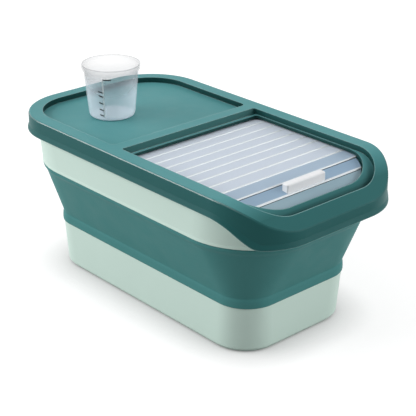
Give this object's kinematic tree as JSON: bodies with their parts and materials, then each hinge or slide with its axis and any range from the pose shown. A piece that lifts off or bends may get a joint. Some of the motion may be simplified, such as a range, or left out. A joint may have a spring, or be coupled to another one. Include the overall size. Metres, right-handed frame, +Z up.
{
  "type": "pet food storage container",
  "caption": "Pet food storage box with a collapsible soft wall, a lift-off lid with a tray and a sliding slatted shutter, and a clear measuring cup.",
  "frame": {"origin": "middle of the tub's underside, on the floor", "axes": "+Z up, +X towards the lid's rounded nose, +Y towards the far long side"},
  "size_m": [0.4618, 0.253, 0.2642],
  "materials": {
    "mint_plastic": "satin",
    "teal_plastic": "satin",
    "teal_rubber": "matte",
    "pale_seal": "matte",
    "frosted_plastic": "frosted",
    "clear_cup": "clear"
  },
  "bodies": {
    "base": {"base_tub": "mint_plastic", "folding_wall": "teal_rubber"},
    "upper": {"upper_ring": "mint_plastic"},
    "lid": {"lid_frame": "teal_plastic", "lid_gasket": "pale_seal", "guide_rail_near": "teal_plastic", "guide_rail_far": "teal_plastic", "pocket_plate": "teal_plastic"},
    "shutter": {"slat_1": "frosted_plastic", "slat_2": "frosted_plastic", "slat_3": "frosted_plastic", "slat_4": "frosted_plastic", "slat_5": "frosted_plastic", "slat_6": "frosted_plastic", "slat_7": "frosted_plastic", "slat_8": "frosted_plastic", "slat_9": "frosted_plastic"},
    "pull": {"pull_slat": "frosted_plastic", "finger_pull": "frosted_plastic"},
    "nose": {"nose_bar": "frosted_plastic"},
    "cup": {"measuring_cup": "clear_cup"}
  },
  "joints": [
    {"name": "collapse", "type": "slide", "parent": "base", "child": "upper", "axis": [0, 0, -1], "range_m": [0, 0.095], "deforming": ["folding_wall"]},
    {"name": "lid_lift", "type": "slide", "parent": "upper", "child": "lid", "axis": [0, 0, 1], "range_m": [0, 0.12]},
    {"name": "shutter_slide", "type": "slide", "parent": "lid", "child": "shutter", "axis": [-1, 0, 0], "range_m": [0, 0.172]},
    {"name": "pull_bend", "type": "hinge", "parent": "shutter", "child": "pull", "pos_m": [0.1645, 0, 0.1911], "axis": [0, 1, 0], "range_deg": [-9.61, 0]},
    {"name": "nose_bend", "type": "hinge", "parent": "pull", "child": "nose", "pos_m": [0.1857, 0, 0.18751], "axis": [0, 1, 0], "range_deg": [-16.11, 0]},
    {"name": "cup_lift", "type": "slide", "parent": "lid", "child": "cup", "axis": [0, 0, 1], "range_m": [0, 0.1]}
  ],
  "couplings": [
    {"joint": "pull_bend", "follows": "shutter_slide", "rad_per_m": -0.97414},
    {"joint": "nose_bend", "follows": "shutter_slide", "rad_per_m": -1.6337}
  ]
}
